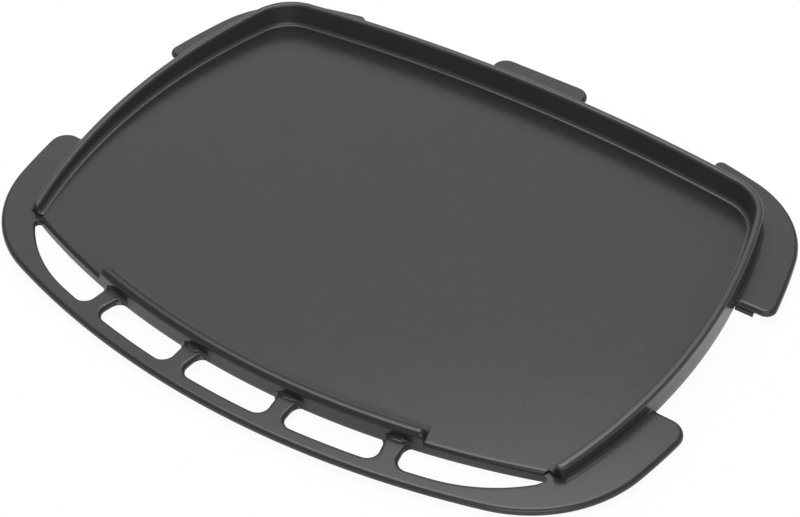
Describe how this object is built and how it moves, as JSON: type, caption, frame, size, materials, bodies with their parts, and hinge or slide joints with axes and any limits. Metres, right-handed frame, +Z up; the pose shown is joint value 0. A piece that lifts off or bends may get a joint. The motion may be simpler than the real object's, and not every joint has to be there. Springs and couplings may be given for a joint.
{
  "type": "camp griddle plate",
  "caption": "Rectangular cast-iron griddle plate with bowed sides, a raised sloping rim, a front drain lip and a slotted carrying rail, made to drop into a portable gas grill.",
  "frame": {"origin": "below the middle of the plate, at the foot of its walls", "axes": "+X to the right along the front rail, +Y to the rear tab, +Z up out of the cooking floor"},
  "size_m": [0.3988, 0.316, 0.0229],
  "materials": {
    "tray": "satin enamel",
    "rim": "satin enamel",
    "flange": "satin enamel"
  },
  "bodies": {
    "root": {"tray_floor": "tray", "rear_wall": "rim", "rear_left_corner": "rim", "rear_right_corner": "rim", "left_wall": "rim", "right_wall": "rim", "front_lip": "rim", "left_drain_sill": "rim", "right_drain_sill": "rim", "front_rail": "flange", "left_outer_post": "flange", "left_inner_post": "flange", "right_inner_post": "flange", "right_outer_post": "flange", "left_front_ear": "flange", "right_front_ear": "flange", "left_rear_ear": "flange", "right_rear_ear": "flange", "rear_tab": "flange", "left_rear_lug": "flange", "right_rear_lug": "flange"}
  },
  "joints": []
}
